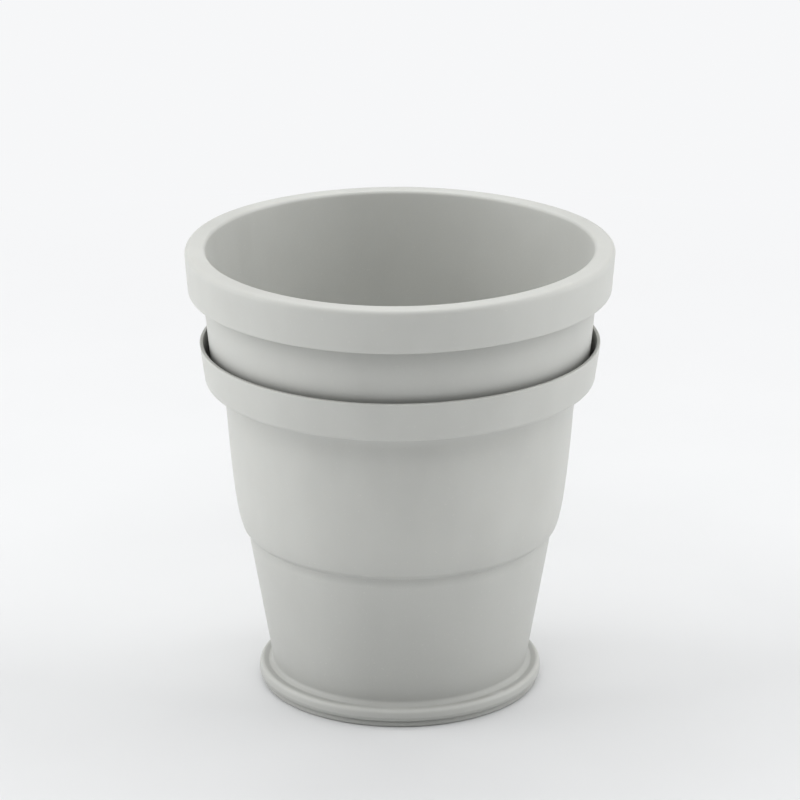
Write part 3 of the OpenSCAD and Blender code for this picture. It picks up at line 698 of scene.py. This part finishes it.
def make_cup():
    """Stiff lower cup with its foot flange, drawn in at the crease."""
    low_r = FLANGE_R - FLANGE_OVERHANG
    slope = (CUP_R - low_r) / (CUP_Z - FLANGE_Z)
    floor_r = low_r - WALL + slope * (FLOOR_Z - FLANGE_Z)
    dip_h, dip_steps = 3, 12
    heights = [CUP_Z - dip_h * (1 - k / dip_steps) for k in range(dip_steps + 1)]
    corners = [
        (0, SEAM_Z, 0),
        (FLANGE_R - 0.15, SEAM_Z, 0.45),
        (FLANGE_R, SEAM_Z + 0.9, 0.5),
        (FLANGE_R - 0.25, FLANGE_Z + 0.05, 1.1),
        (low_r + 1.0, FLANGE_Z - 0.12, 0.6),
        (low_r, FLANGE_Z + 0.55, 0.9),
    ]
    corners += [(low_r + slope * (z - FLANGE_Z) - CREASE_DEPTH * crease_dip(z), z, 0) for z in heights]
    corners += [(CUP_R - WALL, CUP_Z, 0), (floor_r, FLOOR_Z, 1.8), (0, FLOOR_Z, 0)]
    points = divided(rounded(corners, closed=False), 0.8, closed=False)
    obj = turned("cup_skin", points, sectors=256, closed=False, shape=soft_shape)
    return finish_piece(obj, "tub_silicone", "tub", "lower_cup")


def make_base():
    """Base disc: edge ring to stand on, and a recessed centre with shallow grooves."""
    recess_r = DISC_R - 3.9
    recess = 0.4
    groove_top = recess + 0.25
    corners = [(0, recess, 0)]
    for r in (5, 10, 15, 20):
        corners += [(r, recess, 0.1), (r + 0.3, groove_top, 0.1)]
        corners += [(r + 1.1, groove_top, 0.1), (r + 1.4, recess, 0.1)]
    corners += [
        (recess_r, recess, 0.2),
        (recess_r + recess, GROUND_Z, 0.25),
        (DISC_R, GROUND_Z, 0.55),
        (DISC_R - 0.15, DISC_Z, 0.3),
        (0, DISC_Z, 0),
    ]
    points = divided(rounded(corners, closed=False), 1.2, closed=False)
    obj = turned("base_skin", points, sectors=192, closed=False)
    return finish_piece(obj, "base_silicone", "tub", "base_disc")


# ---------------------------------------------------------------- the pod's soft and shaped pieces

def make_foot():
    """Soft ring under the pod, with a rounded grip bead."""
    r, low, high = ring("pod_foot_ring")
    inner = r - 6.2
    corners = [
        (inner, high, 0), (inner, low + 0.4, 0.3), (inner + 1.4, low, 0.5), (inner + 2.6, low + 0.35, 0.3),
        (inner + 3.8, low, 0.4), (r - 0.9, low, 0.4), (r, low + 0.5, 0.3), (r, high, 0),
    ]
    obj = turned("foot_skin", divided(rounded(corners), 0.8), sectors=128)
    return finish_piece(obj, "grip_silicone", "pod", "pod_foot_ring")


RIB_COUNT = 5
RIB_START_R = 4
RIB_SWEEP = math.radians(34)
RIB_SLANT = 0.86
RIB_FLANK = 1.5


def rib_side(r, a):
    """1 on the crest of a swept rib at radius r and angle a, 0 beside it."""
    sweep = RIB_SWEEP * (max(0.0, r - RIB_START_R) / (PULSATOR_R - RIB_START_R)) ** 1.3
    pitch = TURN / RIB_COUNT
    off = abs((a - sweep + pitch / 2) % pitch - pitch / 2) * r * RIB_SLANT
    crest_half = 0.75 - 0.30 * r / PULSATOR_R
    return smooth_step(1 - (off - crest_half) / RIB_FLANK)


def rib_crest(r):
    """Height of a rib's crest over the dish's underside: highest half way out, rounded off at its end."""
    end = PULSATOR_R - 1.8
    if r > end:
        return 0.0
    rounding = min(1.0, (end - r) / 1.6) ** 0.4
    return (4.95 - 0.045 * (r - PULSATOR_R / 2) ** 2) * rounding


def make_pulsator():
    """Pulsator: dished disc with swept ribs that run into it with fillets."""
    r, low = PULSATOR_R, PULSATOR_Z
    z = low + 0.6
    upper_side = z + 1.2
    shaft_top, head_seat, hub_top = z + 1.62, z + 3.22, z + 5.0
    bore, screw_hole, plug_hole = 2.02, 0.92, 1.93
    corners = [
        (bore, z, 0.2), (r - 1.4, z, 0.2), (r - 1.4, low, 0.15), (r - 0.35, low, 0.3), (r, z + 1.0, 0.5),
        (r - 0.3, z + 1.95, 0.7), (r - 5.5, z + 1.5, 6), (8.8, z + 2.2, 3), (6.3, z + 3.4, 1.2),
        (5.6, hub_top, 0.9), (plug_hole, hub_top, 0.25), (plug_hole, head_seat, 0),
        (screw_hole, head_seat, 0), (screw_hole, shaft_top, 0), (bore, shaft_top, 0),
    ]
    points = divided(rounded(corners), 0.42)

    def shape(radius, a, height):
        on_ribs = height > upper_side and radius > RIB_START_R
        rise = max(0.0, z + rib_crest(radius) - height) if on_ribs else 0.0
        return radius, height + rise * rib_side(radius, a)

    obj = turned("pulsator_disc", points, sectors=420, shape=shape)
    return finish_piece(obj, "pulsator_plastic", "spinner", "pulsator")


def make_plug():
    """Soft plug over the pulsator's screw."""
    r, low, high = ring("hub_plug")
    corners = [(0, low, 0), (r, low, 0.15), (r, low + 0.5, 0.35), (r - 0.9, high, 0.5)]
    corners += [(0, high + 0.02, 0)]
    points = divided(rounded(corners, closed=False), 0.2, closed=False)
    obj = turned("plug_skin", points, sectors=96, closed=False)
    return finish_piece(obj, "grip_silicone", "spinner", "hub_plug")


def make_seals():
    """Split-line seal and shaft lip seal, as rounded rings."""
    r, low, high = ring("shell_seal")
    width = 0.8
    corners = [(r - width, low, 0.2), (r, low, 0.2), (r, high, 0.3), (r - width, high, 0.3)]
    obj = turned("split_seal", rounded(corners), sectors=160)
    finish_piece(obj, "seal_rubber", "pod", "shell_seal")
    r, low, high = ring("shaft_seal")
    shaft_r = 2.0
    lip = shaft_r + RUN_GAP
    corners = [
        (lip, low + 0.5, 0.1), (lip, low + 0.9, 0.12), (2.6, low + 0.9, 0.15), (3.0, high, 0.15),
        (r, high, 0.2), (r, low, 0.2), (2.8, low, 0.2),
    ]
    obj = turned("lip_seal", divided(rounded(corners), 0.3), sectors=96)
    finish_piece(obj, "seal_rubber", "pod", "shaft_seal")


def make_flap():
    """Soft port cover: rounded plate, hinge barrel round its pin, and the plug that fills the socket.

    The plate ends inside the barrel's wall. half is one side of its outline, from the tab to the hinge.
    """
    low, _ = (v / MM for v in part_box("port_flap"))
    pin = centre("flap_pin")
    port = centre("charge_socket")
    pin_low, pin_high = (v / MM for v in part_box("flap_pin"))
    pin_r = (pin_high.z - pin_low.z) / 2
    plate_low = pin.z - 0.8
    plate_high = plate_low + 0.9
    barrel, barrel_r = 1.8, 0.85
    wide, long = 2.6, 5.6
    neck = barrel - 0.05
    hinge = pin.x - 0.6
    half = [
        (low.x, barrel, 0.9), (-long - 0.4, barrel, 0.5), (-long + 0.4, wide, 0.9),
        (long, wide, 0.9), (long + 0.6, neck, 0.4), (hinge, neck, 0.45),
    ]
    corners = [(x, port.y - y, f) for x, y, f in half]
    corners += [(x, port.y + y, f) for x, y, f in reversed(half)]
    plate = slab("port_cover", divided(rounded(corners), 0.5), plate_low, plate_high, 0.15, 0.35)
    plug_w, plug_h = 3.8, 1.1
    plug_outline = box_outline(-plug_w, plug_w, port.y - plug_h, port.y + plug_h, plug_h - 0.02)
    plug = slab("plug", plug_outline, low.z, plate_low + 0.4, 0.4, 0.0)
    bore = pin_r + RUN_GAP
    ring_points = [(bore, 0, 0), (bore, 2 * barrel, 0)]
    ring_points += [(barrel_r, 2 * barrel, 0.15), (barrel_r, 0, 0.15)]
    roll = turned("roll", divided(rounded(ring_points), 0.6), sectors=48)
    for v in roll.data.vertices:
        x, y, z = v.co
        v.co = (pin.x * MM + x, (port.y - barrel) * MM + z, pin.z * MM - y)
    obj = united(plate, roll, plug)
    return finish_piece(obj, "grip_silicone", "flap", "port_flap")


def make_button():
    """Power button: domed cap with a flange under the roof, and the stem that reaches the switch."""
    low, high = (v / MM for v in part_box("power_button"))
    flange_r = (high.y - low.y) / 2
    cap_r = flange_r - 0.7
    flange_top = high.z - 2.5
    flange_low = flange_top - 0.9
    axis = (low.x + flange_r, 0)
    stem = (axis[0] + 1.9, 0)
    corners = [
        (0, flange_low, 0), (flange_r, flange_low, 0.2), (flange_r, flange_top, 0.2),
        (cap_r, flange_top, 0.12), (cap_r, high.z - 0.1, 0.75), (1.3, high.z - 0.02, 0.6),
        (0.7, high.z - 0.22, 0.8), (0, high.z - 0.25, 0),
    ]
    points = divided(rounded(corners, closed=False), 0.25, closed=False)
    cap = turned("button_cap", points, sectors=96, closed=False, axis=axis)
    foot, head, stem_r = low.z + RUN_GAP, flange_top - 0.4, 0.9
    corners = [(0, foot, 0), (stem_r, foot, 0.25), (stem_r, head, 0), (0, head, 0)]
    points = divided(rounded(corners, closed=False), 0.8, closed=False)
    post = turned("post", points, sectors=40, closed=False, axis=stem)
    return finish_piece(united(cap, post), "grip_silicone", "button", "power_button")


def make_battery():
    """Pouch cell with rolled edges, a pillowed top and its taped end, on a foam pad."""
    low, high = (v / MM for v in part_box("battery_cell"))
    end = high.x - 0.9
    pillow = 0.12
    taped = 7
    outline = divided(box_outline(low.x, end, low.y, high.y, 1.8), 1.0)
    cell = slab("pouch_cell", outline, low.z, high.z - pillow, 1.0, 1.3, crown=pillow)
    outline = box_outline(end - 1, high.x, -taped, taped, 0.35)
    board = slab("taped_end", divided(outline, 1.0), high.z - 2.2, high.z - 0.2, 0.3, 0.3)
    finish_piece(united(cell, board), "cell_pouch", "pod", "battery_cell")
    low, high = (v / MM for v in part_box("battery_pad"))
    outline = divided(box_outline(low.x, high.x, low.y, high.y, 0.8), 1.0)
    pad = slab("foam_pad", outline, low.z, high.z, 0.12, 0.12)
    finish_piece(pad, "pad_foam", "pod", "battery_pad")


def make_leads(node):
    """Pair of sheathed wires that rise, bow over and come down."""
    low, high = (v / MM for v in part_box(node))
    radius = 0.4
    bow_steps = 40
    rise_steps = 8
    mesh = frame["nodes"][node].data
    wires = []
    for side in (-1, 1):
        points = [v.co / MM for v in mesh.vertices if v.co.y * side > 0]
        left, right = low.x + radius, high.x - radius
        foot_left = min(p.z for p in points if p.x < left + radius + 0.01)
        foot_right = min(p.z for p in points if p.x > right - radius - 0.01)
        bow = (right - left) / 2
        top = high.z - radius - bow
        y = (min(p.y for p in points) + max(p.y for p in points)) / 2
        path = [(left, y, foot_left + (top - foot_left) * k / rise_steps) for k in range(rise_steps)]
        for k in range(bow_steps + 1):
            a = math.pi * (1 - k / bow_steps)
            path.append(((left + right) / 2 + bow * math.cos(a), y, top + bow * math.sin(a)))
        for k in range(rise_steps):
            path.append((right, y, top - (top - foot_right) * (k + 1) / rise_steps))
        wires.append(tube("wire", path, radius))
    return finish_piece(joined(node + "_sheath", wires), "lead_cover", "pod", node)


make_sleeve()
make_collar()
make_fold()
make_cup()
make_base()
make_foot()
make_pulsator()
make_plug()
make_seals()
make_flap()
make_button()
make_battery()
make_leads("battery_leads")
make_leads("motor_leads")

# The CAD nodes that are carried over wear the same materials
for name, obj in frame["nodes"].items():
    obj.data.materials.clear()
    obj.data.materials.append(materials[slot_of[name]])


# ---------------------------------------------------------------- floor, light and camera

def far_white(s):
    """Shader s seen as the studio's white far from the middle, so that the floor has no visible end."""
    split = s.add("ShaderNodeSeparateXYZ")
    s.link(s.place, split.inputs[0])
    x2, y2 = (s.math("POWER", split.outputs[axis], 2) for axis in "XY")
    away = s.math("SQRT", s.math("ADD", x2, y2))
    factor = s.ramp(away, 0.12, 0.38, 0, 1)
    seen = s.math("MULTIPLY", factor, s.add("ShaderNodeLightPath").outputs["Is Camera Ray"])
    glow = s.add("ShaderNodeEmission")
    glow.inputs["Color"].default_value = (*STUDIO_WHITE, 1)
    blend = s.add("ShaderNodeMixShader")
    s.link(seen, blend.inputs[0])
    s.link(s.surface.outputs["BSDF"], blend.inputs[1])
    s.link(glow.outputs[0], blend.inputs[2])
    s.link(blend.outputs[0], s.output.inputs["Surface"])


def backdrop():
    """Pale round floor that runs out of sight."""
    s = Shader("floor")
    grain = s.ramp(s.noise(60, detail=2), 0.3, 0.7, 0, 1)
    s.link(s.mix(grain, (0.79, 0.795, 0.80), (0.81, 0.815, 0.82)), s.surface.inputs["Base Color"])
    s.set(Roughness=0.75, Specular_IOR_Level=0.0)
    s.bumps((s.noise(3), 0.01))
    far_white(s)
    rings = [0.2, 0.5, 1.0, 2.0, 5.0, 20.0]
    sectors = 64
    circle = [(math.cos(TURN * k / sectors), math.sin(TURN * k / sectors)) for k in range(sectors)]
    verts = [(0, 0, 0)]
    verts += [(r * x, r * y, 0) for r in rings for x, y in circle]
    faces = [(0, 1 + k, 1 + (k + 1) % sectors) for k in range(sectors)]
    for i in range(len(rings) - 1):
        low, high = 1 + i * sectors, 1 + (i + 1) * sectors
        for k in range(sectors):
            n = (k + 1) % sectors
            faces.append((low + k, high + k, high + n, low + n))
    mesh = bpy.data.meshes.new("floor")
    mesh.from_pydata(verts, [], faces)
    obj = bpy.data.objects.new("floor", mesh)
    bpy.context.scene.collection.objects.link(obj)
    mesh.materials.append(s.material)
    obj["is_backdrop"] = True


def area_light(name, place, target, size, power):
    data = bpy.data.lights.new(name, "AREA")
    data.shape = "RECTANGLE"
    data.size, data.size_y = size
    data.energy = power
    obj = bpy.data.objects.new(name, data)
    bpy.context.scene.collection.objects.link(obj)
    obj.location = place
    obj.rotation_euler = (Vector(target) - Vector(place)).to_track_quat("-Z", "Y").to_euler()
    obj.visible_camera = False


def light():
    """Soft boxes at both sides, in front and behind. The world fills the shadows, and the camera
    sees it as the studio's white."""
    world = bpy.data.worlds.new("studio")
    bpy.context.scene.world = world
    world.use_nodes = True
    nodes, links = world.node_tree.nodes, world.node_tree.links
    fill = nodes["Background"]
    fill.inputs["Color"].default_value = (0.97, 0.985, 1.0, 1)
    fill.inputs["Strength"].default_value = 0.22
    seen = nodes.new("ShaderNodeBackground")
    seen.inputs["Color"].default_value = (*STUDIO_WHITE, 1)
    path = nodes.new("ShaderNodeLightPath")
    choice = nodes.new("ShaderNodeMixShader")
    links.new(path.outputs["Is Camera Ray"], choice.inputs[0])
    links.new(fill.outputs[0], choice.inputs[1])
    links.new(seen.outputs[0], choice.inputs[2])
    links.new(choice.outputs[0], nodes["World Output"].inputs["Surface"])
    middle = (0, 0, 0.05)
    area_light("left_box", (-0.80, -0.02, 0.40), middle, (0.7, 0.9), 4.9)
    area_light("right_box", (0.80, 0.02, 0.40), middle, (0.7, 0.9), 4.2)
    area_light("back_box", (0, 0.60, 1.00), (0, 0.20, 0), (1.6, 0.9), 7.9)
    area_light("front_box", (0, -0.65, 1.00), middle, (0.9, 0.5), 3.1)


def camera():
    """Camera in front and 20 degrees above, with a long lens. Its picture is shifted up, to leave room
    for the lifted pod."""
    low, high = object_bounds()
    middle = (low + high) / 2
    elevation = math.radians(20)
    distance = 0.9
    data = bpy.data.cameras.new("camera")
    data.lens = 186
    data.shift_y = 0.078
    data.clip_start, data.clip_end = 0.05, 20
    obj = bpy.data.objects.new("camera", data)
    bpy.context.scene.collection.objects.link(obj)
    obj.location = middle + distance * Vector((0, -math.cos(elevation), math.sin(elevation)))
    obj.rotation_euler = (middle - obj.location).to_track_quat("-Z", "Y").to_euler()
    bpy.context.scene.camera = obj


backdrop()
light()
camera()
bpy.context.scene.view_settings.view_transform = "Standard"
